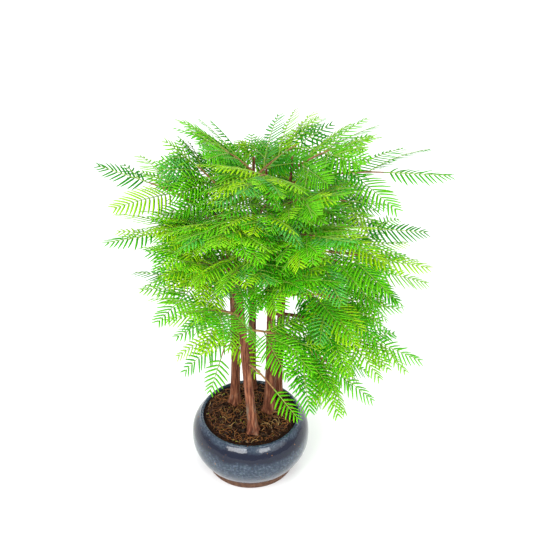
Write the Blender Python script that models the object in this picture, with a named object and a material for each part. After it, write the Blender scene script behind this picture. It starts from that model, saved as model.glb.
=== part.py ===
"""A dawn redwood forest bonsai: five trunks, their boughs and their foliage in a round glazed pot.

Metres, +Z up. The origin is the middle of the pot's flat underside, +X is to the right and +Y is away
from the front, so the planting is seen from -Y. Driving dimensions are in millimetres, and mm() turns
them to metres.

Each branch is one curve from its trunk to its furthest leaf tip. A long branch starts as a bare bough.
The rest is a mass of foliage: a three-sided twig with fronds in opposite pairs along it and one at its end.
A frond is a three-sided rib whose two upper sides are poked between its stations, with each poked point
pulled out to the tip of a leaflet, so that its outline is cut to the rib between the leaflets.
"""

import math
import random
from collections import namedtuple

import bmesh
import bpy
from mathutils import Vector
from mathutils.bvhtree import BVHTree

RIGHT, AWAY, UP = Vector((1, 0, 0)), Vector((0, 1, 0)), Vector((0, 0, 1))


def mm(value):
    return value * 0.001


GAP = mm(0.3)

# The pot: a disc of bare clay as its foot, and a glazed bowl whose wall curls in from its belly both ways
TURNED_SIDES = 32
FOOT_RADIUS, FOOT_HEIGHT, FOOT_EDGE = mm(56.5), mm(9.5), mm(1.2)
BOWL_BASE_RADIUS = mm(57.5)
BELLY_RADIUS, BELLY_HEIGHT = mm(75), mm(47)
SHOULDER_RADIUS, SHOULDER_HEIGHT = mm(62.5), mm(79.5)
CURL_BELOW, CURL_ABOVE = 2.1, 2.6
WALL = mm(5.2)
LIP_MIDDLE, LIP_HEIGHT, LIP_RADIUS = mm(61.9), mm(77.2), mm(2.4)
FLOOR_THICKNESS = mm(6)
OUTER_STATIONS, INNER_STATIONS, LIP_STATIONS = 7, 6, 4

# The soil fills the bowl and is level where the trunks stand
GROUND = mm(80)
SOIL_FLAT_RADIUS, SOIL_EDGE_RADIUS, SOIL_EDGE_HEIGHT = mm(57.5), mm(59.1), mm(78.4)

# The trunks, each leaning from its foot to its top with one slow bow, and flaring at the root
Trunk = namedtuple("Trunk", "foot top height bow radius")
TRUNKS = {
    "front": Trunk(foot=(4, -35), top=(-18, -26), height=405, bow=(-1, 0), radius=6.0),
    "left": Trunk(foot=(-20, 20), top=(-36, 40), height=398, bow=(8, -5), radius=6.0),
    "middle": Trunk(foot=(24, 5), top=(20, 4), height=440, bow=(4, -4), radius=6.7),
    "right": Trunk(foot=(35, 38), top=(50, 46), height=430, bow=(-2, -2), radius=5.6),
    "back": Trunk(foot=(1, 49), top=(6, 66), height=418, bow=(0, -2), radius=5.4),
}
TRUNK_SIDES, TRUNK_STATIONS = 8, 8
TRUNK_TIP_RADIUS = mm(1.1)
TAPER = 1.6
FLARE, FLARE_HEIGHT, ROOT_LOBES, LOBE_DEPTH = 0.45, mm(9), 4, 0.16
FLARE_STATIONS = (0, 0.35, 1.1)  # heights of the lowest rings, as shares of the flare

# The branches: where each leaves its trunk, its compass heading (0 is +X, 90 is +Y), how far its last leaf
# reaches and rises from there, and how many pairs of side fronds it may grow
Branch = namedtuple("Branch", "name trunk height heading reach rise pairs")
BRANCHES = (
    Branch("left_long", "left", 352, 172, 147, 55, 1),
    Branch("left_arch", "left", 335, 206, 145, 22, 1),
    Branch("left_low", "left", 255, 201, 112, 25, 2),
    Branch("left_skirt", "left", 225, 218, 64, 0, 2),
    Branch("left_drop", "left", 205, 244, 58, -50, 1),
    Branch("left_behind", "left", 290, 128, 105, 14, 2),
    Branch("left_shoulder", "left", 374, 140, 84, 2, 1),
    Branch("left_face", "left", 345, 228, 98, 28, 2),
    Branch("left_inner", "left", 300, 240, 88, 16, 2),
    Branch("left_top", "left", 396, 165, 40, 32, 2),
    Branch("front_high_left", "front", 318, 224, 100, 66, 2),
    Branch("front_left", "front", 262, 232, 100, 58, 2),
    Branch("front_right", "front", 300, 318, 118, 62, 2),
    Branch("front_cross", "front", 240, 336, 104, -6, 1),
    Branch("front_low", "front", 190, 317, 75, -36, 0),
    Branch("front_top", "front", 385, 262, 86, 30, 2),
    Branch("front_face", "front", 345, 292, 92, 22, 2),
    Branch("middle_front", "middle", 345, 301, 160, 84, 2),
    Branch("middle_top", "middle", 385, 324, 103, 56, 2),
    Branch("middle_face", "middle", 395, 262, 108, 26, 2),
    Branch("middle_heart", "middle", 322, 268, 84, 14, 2),
    Branch("middle_side", "middle", 350, 3, 180, -8, 1),
    Branch("middle_arch", "middle", 325, 343, 184, 12, 2),
    Branch("middle_low", "middle", 265, 356, 150, -17, 2),
    Branch("middle_reach", "middle", 240, 345, 180, -42, 2),
    Branch("middle_skirt", "middle", 215, 332, 134, -62, 2),
    Branch("middle_leader", "middle", 432, 250, 54, 14, 2),
    Branch("right_long", "right", 395, 350, 182, 22, 1),
    Branch("right_fan", "right", 414, 345, 88, 50, 2),
    Branch("right_face", "right", 352, 266, 104, 10, 2),
    Branch("right_behind", "right", 350, 48, 118, 10, 2),
    Branch("right_side", "right", 365, 14, 120, -22, 2),
    Branch("right_thin", "right", 290, 1, 172, -44, 2),
    Branch("right_low", "right", 240, 9, 121, -66, 2),
    Branch("right_skirt", "right", 205, 340, 92, -88, 2),
    Branch("right_low_behind", "right", 255, 62, 112, -24, 2),
    Branch("back_fan", "back", 400, 199, 70, 60, 2),
    Branch("back_high", "back", 375, 92, 84, 16, 2),
    Branch("back_face", "back", 385, 268, 90, 20, 2),
    Branch("back_left", "back", 310, 155, 110, 4, 2),
    Branch("back_low", "back", 235, 100, 108, -14, 2),
    Branch("back_right", "back", 392, 20, 92, 46, 2),
)
LEAN_ROOM = mm(0.2)  # added to the gap at the bark, because the trunks lean
LONG_BRANCH = mm(122)  # a branch that reaches further starts as a bare bough
BOUGH_SHARE, STEM_SHARE = 0.26, 0.62
BRANCH_LIFT = 0.16
BOUGH_SIDES, BOUGH_STATIONS = 6, 3
BOUGH_RADIUS, BOUGH_TIP_RADIUS = mm(2.4), mm(1.7)
STEM_SIDES, STEM_STATIONS = 3, 4
STEM_RADIUS, STEM_TIP_RADIUS = mm(1.6), mm(1.0)

# The fronds
FROND_LENGTH, LEAST_FROND = mm(95), mm(46)
FIRST_SPREAD, LAST_SPREAD = 66, 38
FROND_TURN, FROND_DROOP = 0.35, 0.4
FROND_ROOT = mm(0.4)
RIB_RADIUS, RIB_TIP_RADIUS = mm(1.1), mm(0.45)
LEAFLET_LENGTH = mm(26)
LEAFLET_SPACING = mm(16.5)
LEAFLET_ANGLE = 56
LEAFLET_DROOP = 0.1
LEAST_PAIRS = 3
BARE_SHARE = 0.09
TRIES = 12

# Colour, roughness
FINISHES = {
    "glaze": ((0.075, 0.11, 0.16, 1), 0.12),
    "clay": ((0.11, 0.055, 0.03, 1), 0.8),
    "soil": ((0.06, 0.028, 0.013, 1), 0.95),
    "bark": ((0.19, 0.085, 0.045, 1), 0.85),
    "foliage": ((0.12, 0.38, 0.03, 1), 0.5),
}


def material(name):
    """One material for each kind of finish, made the first time that it is asked for."""
    found = bpy.data.materials.get(name)
    if found:
        return found
    colour, roughness = FINISHES[name]
    made = bpy.data.materials.new(name)
    made.use_nodes = True
    made.diffuse_color = colour
    shader = made.node_tree.nodes["Principled BSDF"]
    shader.inputs["Base Color"].default_value = colour
    shader.inputs["Roughness"].default_value = roughness
    shader.inputs["Metallic"].default_value = 0.0
    return made


def clear_scene():
    for thing in list(bpy.data.objects):
        bpy.data.objects.remove(thing)


def add_object(name, bm, finish, parent=None):
    """A scene object from a bmesh, with its faces turned outwards."""
    bmesh.ops.recalc_face_normals(bm, faces=bm.faces)
    mesh = bpy.data.meshes.new(name)
    bm.to_mesh(mesh)
    bm.free()
    mesh.materials.append(material(finish))
    made = bpy.data.objects.new(name, mesh)
    made.parent = parent
    bpy.context.scene.collection.objects.link(made)
    return made


def shade_smooth(thing, angle):
    thing.data.shade_smooth()
    thing.data.set_sharp_from_angle(angle=math.radians(angle))


def turned(name, profile, finish, parent):
    """A profile of (radius, height) points, from the axis back to the axis, spun round Z."""
    bm = bmesh.new()
    points = [bm.verts.new((radius, 0, height)) for radius, height in profile]
    for first, second in zip(points, points[1:]):
        bm.edges.new((first, second))
    bmesh.ops.spin(
        bm,
        geom=bm.verts[:] + bm.edges[:],
        cent=(0, 0, 0),
        axis=UP,
        angle=math.tau,
        steps=TURNED_SIDES,
        use_merge=True,
    )
    bmesh.ops.remove_doubles(bm, verts=bm.verts, dist=1e-6)
    made = add_object(name, bm, finish, parent)
    shade_smooth(made, 35)
    return made


def spread(first, last, count):
    """count values from first to last, both included."""
    return [first + (last - first) * k / (count - 1) for k in range(count)]


def wall_radius(height):
    """The outside of the bowl, which curls in below and above its belly."""
    if height < BELLY_HEIGHT:
        share = (BELLY_HEIGHT - height) / (BELLY_HEIGHT - FOOT_HEIGHT)
        return BELLY_RADIUS - (BELLY_RADIUS - BOWL_BASE_RADIUS) * share**CURL_BELOW
    share = (height - BELLY_HEIGHT) / (SHOULDER_HEIGHT - BELLY_HEIGHT)
    return BELLY_RADIUS - (BELLY_RADIUS - SHOULDER_RADIUS) * share**CURL_ABOVE


def inner_wall():
    """The inside of the bowl, top to bottom, and its floor's height."""
    floor = FOOT_HEIGHT + GAP + FLOOR_THICKNESS
    heights = spread(LIP_HEIGHT - LIP_RADIUS, floor, INNER_STATIONS)
    return [(wall_radius(height) - WALL, height) for height in heights], floor


def add_foot(parent):
    profile = [
        (0, 0),
        (FOOT_RADIUS - FOOT_EDGE, 0),
        (FOOT_RADIUS, FOOT_EDGE),
        (FOOT_RADIUS, FOOT_HEIGHT),
        (0, FOOT_HEIGHT),
    ]
    return turned("pot_foot", profile, "clay", parent)


def add_bowl(parent):
    base = FOOT_HEIGHT + GAP
    outer = [(wall_radius(z), z) for z in spread(base, LIP_HEIGHT - mm(0.4), OUTER_STATIONS)]
    lip = []
    for angle in spread(math.radians(35), math.pi, LIP_STATIONS):
        across, up = LIP_RADIUS * math.cos(angle), LIP_RADIUS * math.sin(angle)
        lip.append((LIP_MIDDLE + across, LIP_HEIGHT + up))
    inner, floor = inner_wall()
    return turned("pot", [(0, base), *outer, *lip, *inner, (0, floor)], "glaze", parent)


def add_soil(parent):
    inner, floor = inner_wall()
    side = [(radius - GAP, height) for radius, height in reversed(inner[:-1])]
    bottom = floor + GAP
    profile = [
        (0, bottom),
        (inner[-1][0] - 2 * GAP, bottom),
        *side,
        (SOIL_EDGE_RADIUS, LIP_HEIGHT),
        (SOIL_EDGE_RADIUS, SOIL_EDGE_HEIGHT),
        (SOIL_FLAT_RADIUS, GROUND),
        (0, GROUND),
    ]
    return turned("soil", profile, "soil", parent)


def trunk_share(trunk, height):
    return (height - GROUND) / (mm(trunk.height) - GROUND)


def trunk_point(trunk, height):
    """The middle of the trunk at this height."""
    share = trunk_share(trunk, height)
    bow = math.sin(math.pi * share)
    places = zip(trunk.foot, trunk.top, trunk.bow)
    x, y = (mm(foot + (top - foot) * share + most * bow) for foot, top, most in places)
    return Vector((x, y, height))


def trunk_radius(trunk, height):
    share = trunk_share(trunk, height)
    full = mm(trunk.radius)
    return TRUNK_TIP_RADIUS + (full - TRUNK_TIP_RADIUS) * (1 - share**TAPER)


def ring(bm, middle, across, over, radii):
    """A loop of vertices round middle, one for each radius, in the plane of two unit vectors."""
    points = []
    for k, radius in enumerate(radii):
        angle = math.tau * k / len(radii)
        away = across * math.cos(angle) + over * math.sin(angle)
        points.append(bm.verts.new(middle + away * radius))
    return points


def bridge(bm, rings):
    """Skins a list of equal rings and caps both ends."""
    sides = len(rings[0])
    for low, high in zip(rings, rings[1:]):
        for k in range(sides):
            bm.faces.new((low[k], low[(k + 1) % sides], high[(k + 1) % sides], high[k]))
    bm.faces.new(rings[0][::-1])
    bm.faces.new(rings[-1])


def add_trunk(name, trunk, parent):
    """A tapering, leaning trunk from the flat cut at the soil to its tip, with lobed roots at its flare."""
    bm = bmesh.new()
    foot = GROUND + GAP
    heights = [foot + FLARE_HEIGHT * share for share in FLARE_STATIONS]
    heights += spread(foot + 4 * FLARE_HEIGHT, mm(trunk.height), TRUNK_STATIONS - len(heights))
    turn = random.Random(name).uniform(0, math.tau)
    rings = []
    for height in heights:
        fade = math.exp(-(height - foot) / FLARE_HEIGHT)
        radius = trunk_radius(trunk, height) * (1 + FLARE * fade)
        radii = []
        for k in range(TRUNK_SIDES):
            lobe = math.cos(ROOT_LOBES * math.tau * k / TRUNK_SIDES + turn)
            radii.append(radius * (1 + LOBE_DEPTH * fade * lobe))
        rings.append(ring(bm, trunk_point(trunk, height), RIGHT, AWAY, radii))
    bridge(bm, rings)
    made = add_object("trunk_" + name, bm, "bark", parent)
    shade_smooth(made, 40)
    return made


class Course:
    """The curve of a branch, from its trunk's bark at 0 to its furthest leaf tip at 1."""

    def __init__(self, branch):
        trunk = TRUNKS[branch.trunk]
        height = mm(branch.height)
        angle = math.radians(branch.heading)
        self.out = Vector((math.cos(angle), math.sin(angle), 0))
        middle = trunk_point(trunk, height)
        self.start = middle + self.out * (trunk_radius(trunk, height) + GAP + LEAN_ROOM)
        self.tip = middle + self.out * mm(branch.reach) + UP * mm(branch.rise)
        half = self.start.lerp(self.tip, 0.42)
        self.lift = half + UP * (BRANCH_LIFT * mm(branch.reach))
        self.long = mm(branch.reach) > LONG_BRANCH

    def point(self, t):
        return self.start.lerp(self.lift, t).lerp(self.lift.lerp(self.tip, t), t)

    def heading(self, t):
        return ((self.lift - self.start).lerp(self.tip - self.lift, t)).normalized()

    def speed(self, t):
        """Metres travelled for each unit of t."""
        return 2 * (self.lift - self.start).lerp(self.tip - self.lift, t).length


def limb(course, first, last, radii, sides, stations):
    """A tapering limb along part of a course. Where it starts at the trunk, its end is upright there."""
    bm = bmesh.new()
    rings = []
    for share in spread(0, 1, stations):
        t = first + (last - first) * share
        ahead = course.out if t == 0 else course.heading(t)
        across = ahead.cross(UP).normalized()
        over = across.cross(ahead)
        radius = radii[0] + (radii[1] - radii[0]) * share
        rings.append(ring(bm, course.point(t), over, across, [radius] * sides))
    bridge(bm, rings)
    return bm


def leaflet_share(u):
    """How long the leaflets are at this share of the frond: short at its foot, longest before the middle."""
    return min(1.0, 0.62 + 1.5 * u) * (1 - 0.68 * u**2.4)


def leaflet_tip(frame, sign, reach):
    """Where a leaflet of this length ends, on the side of the rib that sign gives."""
    middle, along, side, top = frame
    angle = math.radians(LEAFLET_ANGLE)
    away = side * (sign * math.sin(angle)) + along * math.cos(angle)
    return middle + away * reach - top * (LEAFLET_DROOP * reach)


def frond(root, ahead, over, length, bend):
    """A toothed blade: a three-sided rib that curves towards bend, with a leaflet in each poked side."""
    pairs = max(LEAST_PAIRS, round(length * (1 - BARE_SHARE) / LEAFLET_SPACING))
    full = LEAFLET_LENGTH * min(1, 0.45 + 0.55 * length / FROND_LENGTH)
    knee = root + ahead * (0.5 * length)
    tip = knee + (ahead + bend).normalized() * (0.5 * length)
    bm = bmesh.new()
    shares = [-FROND_ROOT / length] + spread(BARE_SHARE, 1, pairs + 1)
    rings, frames = [], []
    for u in shares:
        middle = root.lerp(knee, u).lerp(knee.lerp(tip, u), u)
        along = (knee - root).lerp(tip - knee, max(u, 0)).normalized()
        side = along.cross(over).normalized()
        top = side.cross(along)
        radius = RIB_RADIUS + (RIB_TIP_RADIUS - RIB_RADIUS) * max(u, 0)
        rings.append(ring(bm, middle, top, side, [radius] * 3))
        frames.append((middle, along, side, top))
    bridge(bm, rings)
    for k in range(1, pairs + 1):
        reach = full * leaflet_share((shares[k] + shares[k + 1]) / 2)
        middle = (frames[k][0] + frames[k + 1][0]) / 2
        for corner, sign in ((0, 1), (2, -1)):
            face = side_face(rings[k], rings[k + 1], corner)
            poked = bmesh.ops.poke(bm, faces=[face])["verts"][0]
            poked.co = leaflet_tip((middle, *frames[k][1:]), sign, reach)
    return bm


def side_face(low, high, corner):
    """The side of the rib between two rings that starts at this corner of them."""
    following = (corner + 1) % 3
    corners = {low[corner], low[following], high[corner], high[following]}
    return next(face for face in low[corner].link_faces if set(face.verts) == corners)


def tree_of(bm):
    return BVHTree.FromBMesh(bm, epsilon=GAP)


class Mass:
    """One mass of foliage while it grows: its stem, its fronds and the space that they take."""

    def __init__(self, branch):
        self.branch = branch
        self.course = Course(branch)
        self.random = random.Random(branch.name)
        first = 0
        if self.course.long:
            first = BOUGH_SHARE + GAP / self.course.speed(BOUGH_SHARE)
        self.first = first
        radii = (STEM_RADIUS, STEM_TIP_RADIUS)
        self.pieces = [limb(self.course, first, STEM_SHARE, radii, STEM_SIDES, STEM_STATIONS)]
        self.trees = [tree_of(self.pieces[0])]

    def grow_next(self, turn, blocked):
        """Adds the frond of this turn: first the one at the end, then the pairs from the foot outwards."""
        if turn < 0:
            self.grow(STEM_SHARE - 0.002, 0, blocked)
        elif turn < 2 * self.branch.pairs:
            share = (turn // 2 + 0.42) / self.branch.pairs
            self.grow(self.first + (STEM_SHARE - self.first) * share, 1 - 2 * (turn % 2), blocked)

    def grow(self, t, side, blocked):
        """Adds a frond at t on the course: side is -1 or 1 for a side frond and 0 for the one at the end.

        While the frond would touch a limb or another mass, it tries again, more loosely and shorter.
        """
        course = self.course
        heading = course.heading(t)
        over = heading.cross(UP).normalized().cross(heading)
        aside = over.cross(heading).normalized()
        fade = (t - self.first) / (STEM_SHARE - self.first)
        length = (course.tip - course.point(t)).length
        if side:
            length = FROND_LENGTH * (1.0 - 0.28 * fade) * min(1, 0.5 + course.speed(0.5) / mm(200))
        bend = heading * (FROND_TURN * abs(side)) - UP * (FROND_DROOP * abs(side))
        for attempt in range(TRIES):
            loose = 1 + 0.5 * attempt
            opening = FIRST_SPREAD + (LAST_SPREAD - FIRST_SPREAD) * fade
            angle = side * math.radians(opening + self.random.uniform(-6, 6) * loose)
            pitch = self.random.uniform(-0.14, 0.1) * loose * abs(side)
            roll = self.random.uniform(-0.2, 0.2) * loose * (1 if side else 0.5)
            ahead = heading * math.cos(angle) + aside * math.sin(angle) + UP * pitch
            facing = (over + aside * (roll + 0.15 * side)).normalized()
            made_length = max(length * (1 - 0.04 * attempt), LEAST_FROND)
            made = frond(course.point(t), ahead.normalized(), facing, made_length, bend)
            tree = tree_of(made)
            if not any(other.overlap(tree) for other in blocked):
                self.pieces.append(made)
                self.trees.append(tree)
                return
            made.free()


def join(name, pieces, parent):
    """Fuses the pieces of a mass into one closed body by a Boolean union on a collection."""
    body = add_object(name, pieces[0], "foliage", parent)
    others = bpy.data.collections.new(name + "_fronds")
    bpy.context.scene.collection.children.link(others)
    for k, piece in enumerate(pieces[1:]):
        made = add_object(f"{name}_frond_{k}", piece, "foliage")
        bpy.context.scene.collection.objects.unlink(made)
        others.objects.link(made)
    union = body.modifiers.new("union", "BOOLEAN")
    union.operation = "UNION"
    union.operand_type = "COLLECTION"
    union.collection = others
    bpy.context.view_layer.update()
    graph = bpy.context.evaluated_depsgraph_get()
    fused = bpy.data.meshes.new_from_object(body.evaluated_get(graph))
    body.modifiers.remove(union)
    body.data = fused
    for made in list(others.objects):
        bpy.data.objects.remove(made)
    bpy.data.collections.remove(others)
    keep_largest(fused)
    shade_smooth(body, 30)
    return body


def keep_largest(mesh):
    """Drops loose scraps that a union left beside the main body."""
    bm = bmesh.new()
    bm.from_mesh(mesh)
    left = set(bm.verts)
    bodies = []
    while left:
        body, front = set(), [left.pop()]
        while front:
            vertex = front.pop()
            body.add(vertex)
            linked = {edge.other_vert(vertex) for edge in vertex.link_edges} & left
            left -= linked
            front.extend(linked)
        bodies.append(body)
    bodies.sort(key=len)
    for body in bodies[:-1]:
        bmesh.ops.delete(bm, geom=list(body), context="VERTS")
    bm.to_mesh(mesh)
    bm.free()


def add_branches(parent, solids):
    """The boughs and the masses, which take turns to add a frond, so that each gets its share of space."""
    masses = [Mass(branch) for branch in BRANCHES]
    limbs = []
    for thing in solids:
        bm = bmesh.new()
        bm.from_mesh(thing.data)
        limbs.append(tree_of(bm))
        bm.free()
    for mass in masses:
        if mass.course.long:
            radii = (BOUGH_RADIUS, BOUGH_TIP_RADIUS)
            bough = limb(mass.course, 0, BOUGH_SHARE, radii, BOUGH_SIDES, BOUGH_STATIONS)
            limbs.append(tree_of(bough))
            made = add_object("bough_" + mass.branch.name, bough, "bark", parent)
            shade_smooth(made, 40)
    for turn in range(-1, 2 * max(branch.pairs for branch in BRANCHES)):
        for mass in masses:
            others = [tree for other in masses if other is not mass for tree in other.trees]
            mass.grow_next(turn, limbs + others)
    for mass in masses:
        join("foliage_" + mass.branch.name, mass.pieces, parent)


def main():
    clear_scene()
    root = bpy.data.objects.new("bonsai", None)
    bpy.context.scene.collection.objects.link(root)
    solids = [add_foot(root), add_bowl(root), add_soil(root)]
    for name, trunk in TRUNKS.items():
        solids.append(add_trunk(name, trunk, root))
    add_branches(root, solids)


if __name__ == "__main__":
    main()
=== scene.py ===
"""The looks of a dawn redwood forest bonsai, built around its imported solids.

Metres, +Z up, in the frame of the solids. Each mass of foliage is replaced by twigs and leaflets that
grow by the same seeded rule as its solid: the same branch curve, and the same fronds in the same space.
Each of those fronds then carries leaflets at their real size and finer fronds of its own, and more fronds
fill the stem, none longer than the mass reaches.
"""

import math
import random
from collections import namedtuple

import bmesh
import bpy
import numpy as np
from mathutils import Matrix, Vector, noise
from mathutils.bvhtree import BVHTree


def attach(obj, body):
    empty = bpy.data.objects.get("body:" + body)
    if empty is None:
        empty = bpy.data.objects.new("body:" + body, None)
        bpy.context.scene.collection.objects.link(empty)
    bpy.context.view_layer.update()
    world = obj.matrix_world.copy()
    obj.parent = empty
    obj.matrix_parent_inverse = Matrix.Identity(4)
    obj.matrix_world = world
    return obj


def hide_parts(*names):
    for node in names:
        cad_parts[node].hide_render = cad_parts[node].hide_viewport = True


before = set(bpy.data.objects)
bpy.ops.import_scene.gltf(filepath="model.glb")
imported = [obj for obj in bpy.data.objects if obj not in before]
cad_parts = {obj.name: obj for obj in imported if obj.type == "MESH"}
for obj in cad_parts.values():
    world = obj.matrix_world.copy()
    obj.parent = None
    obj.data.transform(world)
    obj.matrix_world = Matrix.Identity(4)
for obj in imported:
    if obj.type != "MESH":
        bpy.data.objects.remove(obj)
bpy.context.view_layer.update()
BODY = "root"
UP = Vector((0, 0, 1))


def mm(value):
    return value * 0.001


GAP = mm(0.3)

# The pot and the soil, as in the solids
FOOT_RADIUS, FOOT_HEIGHT, FOOT_EDGE = mm(56.5), mm(9.5), mm(1.2)
BOWL_BASE_RADIUS = mm(57.5)
BELLY_RADIUS, BELLY_HEIGHT = mm(75), mm(47)
SHOULDER_RADIUS, SHOULDER_HEIGHT = mm(62.5), mm(79.5)
CURL_BELOW, CURL_ABOVE = 2.1, 2.6
WALL = mm(5.2)
LIP_MIDDLE, LIP_HEIGHT, LIP_RADIUS = mm(61.9), mm(77.2), mm(2.4)
FLOOR_THICKNESS = mm(6)
GROUND = mm(80)
SOIL_FLAT_RADIUS, SOIL_EDGE_RADIUS = mm(57.5), mm(59.1)

# The finer pot: the stations along its profile, where its curves start and end, and its unevenness
POT_TURNS = 128
FOOT_STATIONS, OUTER_STATIONS, LIP_STATIONS, INNER_STATIONS = 6, 34, 12, 14
FOOT_TOP_INSET, BASE_INSETS = mm(6), (mm(4), mm(0.5))
WALL_START, WALL_END, LIP_START_ANGLE = mm(0.6), mm(0.4), 20
FOOT_WOBBLE, BOWL_WOBBLE, WOBBLES_ROUND, WOBBLES_UP = 0.004, 0.006, 1.7, 30
# Where the foot's rounded edge passes, as shares of its size
EDGE_IN, EDGE_UP = 0.3, 0.4

# The finer soil. Its lumps are (height in mm, how many to the metre)
SOIL_RINGS, SOIL_TURNS, SOIL_SIDE_STATIONS = 60, 150, 6
LUMPS = ((1.5, 75), (1.1, 210), (0.5, 520))
SOIL_FALL, SOIL_FALL_POWER = 1.3, 6

# The litter on the soil, with ranges of sizes in mm. Each tone is (colour, how often it is dealt)
FIBRES, CRUMBS, MOSS_FLECKS = 520, 900, 70
LITTER_EDGE, TRUNK_ROOM = 0.97, mm(10)
FIBRE_STATIONS, FEWEST_STATIONS, FIBRE_SIDES = (7, 13), 5, 5
FIBRE_STEP, FIBRE_ARCH, FIBRE_LIFT = (0.9, 2.0), (0.6, 3.2), 0.2
FIBRE_RADIUS, FIBRE_TAPER = (0.22, 0.5), 0.4
MOST_CURL, CURL_PLAY = 0.9, (0.2, 1.0)
CRUMB_SIZE, MOSS_SIZE, MOSS_LIFT = (0.7, 2.1), (0.6, 1.5), 0.4
CHIP_HEIGHT, CHIP_PLAY, CHIP_WIDTH = 0.6, (0.6, 1.25), (0.35, 1.0)
FIBRE_TONES = {
    "fibre_orange": ((0.23, 0.080, 0.016), 5),
    "fibre_brown": ((0.070, 0.022, 0.006), 4),
    "fibre_pale": ((0.40, 0.24, 0.09), 0.7),
}
CRUMB_TONES = {
    "crumb_dark": ((0.014, 0.005, 0.002), 5),
    "crumb_brown": ((0.062, 0.024, 0.008), 3),
    "crumb_pale": ((0.16, 0.09, 0.04), 1),
}
MOSS_TONES = {"moss": ((0.30, 0.36, 0.03), 1)}
DARK_SHARE, LIGHT_SHARE = 0.55, 1.35

# The trunks and the branches, as in the solids
Trunk = namedtuple("Trunk", "foot top height bow radius")
TRUNKS = {
    "front": Trunk(foot=(4, -35), top=(-18, -26), height=405, bow=(-1, 0), radius=6.0),
    "left": Trunk(foot=(-20, 20), top=(-36, 40), height=398, bow=(8, -5), radius=6.0),
    "middle": Trunk(foot=(24, 5), top=(20, 4), height=440, bow=(4, -4), radius=6.7),
    "right": Trunk(foot=(35, 38), top=(50, 46), height=430, bow=(-2, -2), radius=5.6),
    "back": Trunk(foot=(1, 49), top=(6, 66), height=418, bow=(0, -2), radius=5.4),
}
TRUNK_TIP_RADIUS = mm(1.1)
TAPER = 1.6
FLARE, FLARE_HEIGHT, ROOT_LOBES, LOBE_DEPTH = 0.45, mm(9), 4, 0.16
# A branch: where it leaves its trunk, its compass heading (0 is +X, 90 is +Y), how far its last leaf reaches
# and rises from there, and how many pairs of side fronds it may grow. Lengths are in mm
Branch = namedtuple("Branch", "name trunk height heading reach rise pairs")
BRANCHES = (
    Branch("left_long", "left", 352, 172, 147, 55, 1),
    Branch("left_arch", "left", 335, 206, 145, 22, 1),
    Branch("left_low", "left", 255, 201, 112, 25, 2),
    Branch("left_skirt", "left", 225, 218, 64, 0, 2),
    Branch("left_drop", "left", 205, 244, 58, -50, 1),
    Branch("left_behind", "left", 290, 128, 105, 14, 2),
    Branch("left_shoulder", "left", 374, 140, 84, 2, 1),
    Branch("left_face", "left", 345, 228, 98, 28, 2),
    Branch("left_inner", "left", 300, 240, 88, 16, 2),
    Branch("left_top", "left", 396, 165, 40, 32, 2),
    Branch("front_high_left", "front", 318, 224, 100, 66, 2),
    Branch("front_left", "front", 262, 232, 100, 58, 2),
    Branch("front_right", "front", 300, 318, 118, 62, 2),
    Branch("front_cross", "front", 240, 336, 104, -6, 1),
    Branch("front_low", "front", 190, 317, 75, -36, 0),
    Branch("front_top", "front", 385, 262, 86, 30, 2),
    Branch("front_face", "front", 345, 292, 92, 22, 2),
    Branch("middle_front", "middle", 345, 301, 160, 84, 2),
    Branch("middle_top", "middle", 385, 324, 103, 56, 2),
    Branch("middle_face", "middle", 395, 262, 108, 26, 2),
    Branch("middle_heart", "middle", 322, 268, 84, 14, 2),
    Branch("middle_side", "middle", 350, 3, 180, -8, 1),
    Branch("middle_arch", "middle", 325, 343, 184, 12, 2),
    Branch("middle_low", "middle", 265, 356, 150, -17, 2),
    Branch("middle_reach", "middle", 240, 345, 180, -42, 2),
    Branch("middle_skirt", "middle", 215, 332, 134, -62, 2),
    Branch("middle_leader", "middle", 432, 250, 54, 14, 2),
    Branch("right_long", "right", 395, 350, 182, 22, 1),
    Branch("right_fan", "right", 414, 345, 88, 50, 2),
    Branch("right_face", "right", 352, 266, 104, 10, 2),
    Branch("right_behind", "right", 350, 48, 118, 10, 2),
    Branch("right_side", "right", 365, 14, 120, -22, 2),
    Branch("right_thin", "right", 290, 1, 172, -44, 2),
    Branch("right_low", "right", 240, 9, 121, -66, 2),
    Branch("right_skirt", "right", 205, 340, 92, -88, 2),
    Branch("right_low_behind", "right", 255, 62, 112, -24, 2),
    Branch("back_fan", "back", 400, 199, 70, 60, 2),
    Branch("back_high", "back", 375, 92, 84, 16, 2),
    Branch("back_face", "back", 385, 268, 90, 20, 2),
    Branch("back_left", "back", 310, 155, 110, 4, 2),
    Branch("back_low", "back", 235, 100, 108, -14, 2),
    Branch("back_right", "back", 392, 20, 92, 46, 2),
)
LEAN_ROOM = mm(0.2)
LONG_BRANCH = mm(122)
BOUGH_SHARE, STEM_SHARE = 0.26, 0.62
BRANCH_LIFT, LIFT_PLACE = 0.16, 0.42
BOUGH_RADIUS, BOUGH_TIP_RADIUS = mm(2.4), mm(1.7)
STEM_SIDES, STEM_STATIONS = 3, 4
STEM_RADIUS, STEM_TIP_RADIUS = mm(1.6), mm(1.0)
FROND_LENGTH, LEAST_FROND = mm(95), mm(46)
FIRST_SPREAD, LAST_SPREAD = 66, 38
FIRST_PAIR, END_SINK = 0.42, 0.002
FROND_TURN, FROND_DROOP = 0.35, 0.4
FROND_ROOT = mm(0.4)
# A side frond is shorter by FROND_FADE at the stem's end, and on a branch under FULL_BRANCH
FROND_FADE, FULL_BRANCH, SHORT_BRANCH_SHARE = 0.28, mm(100), 0.5
SPREAD_PLAY, PITCH_PLAY, ROLL_PLAY = 6, (-0.14, 0.1), 0.2
END_ROLL_SHARE, SIDE_ROLL = 0.5, 0.15
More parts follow.
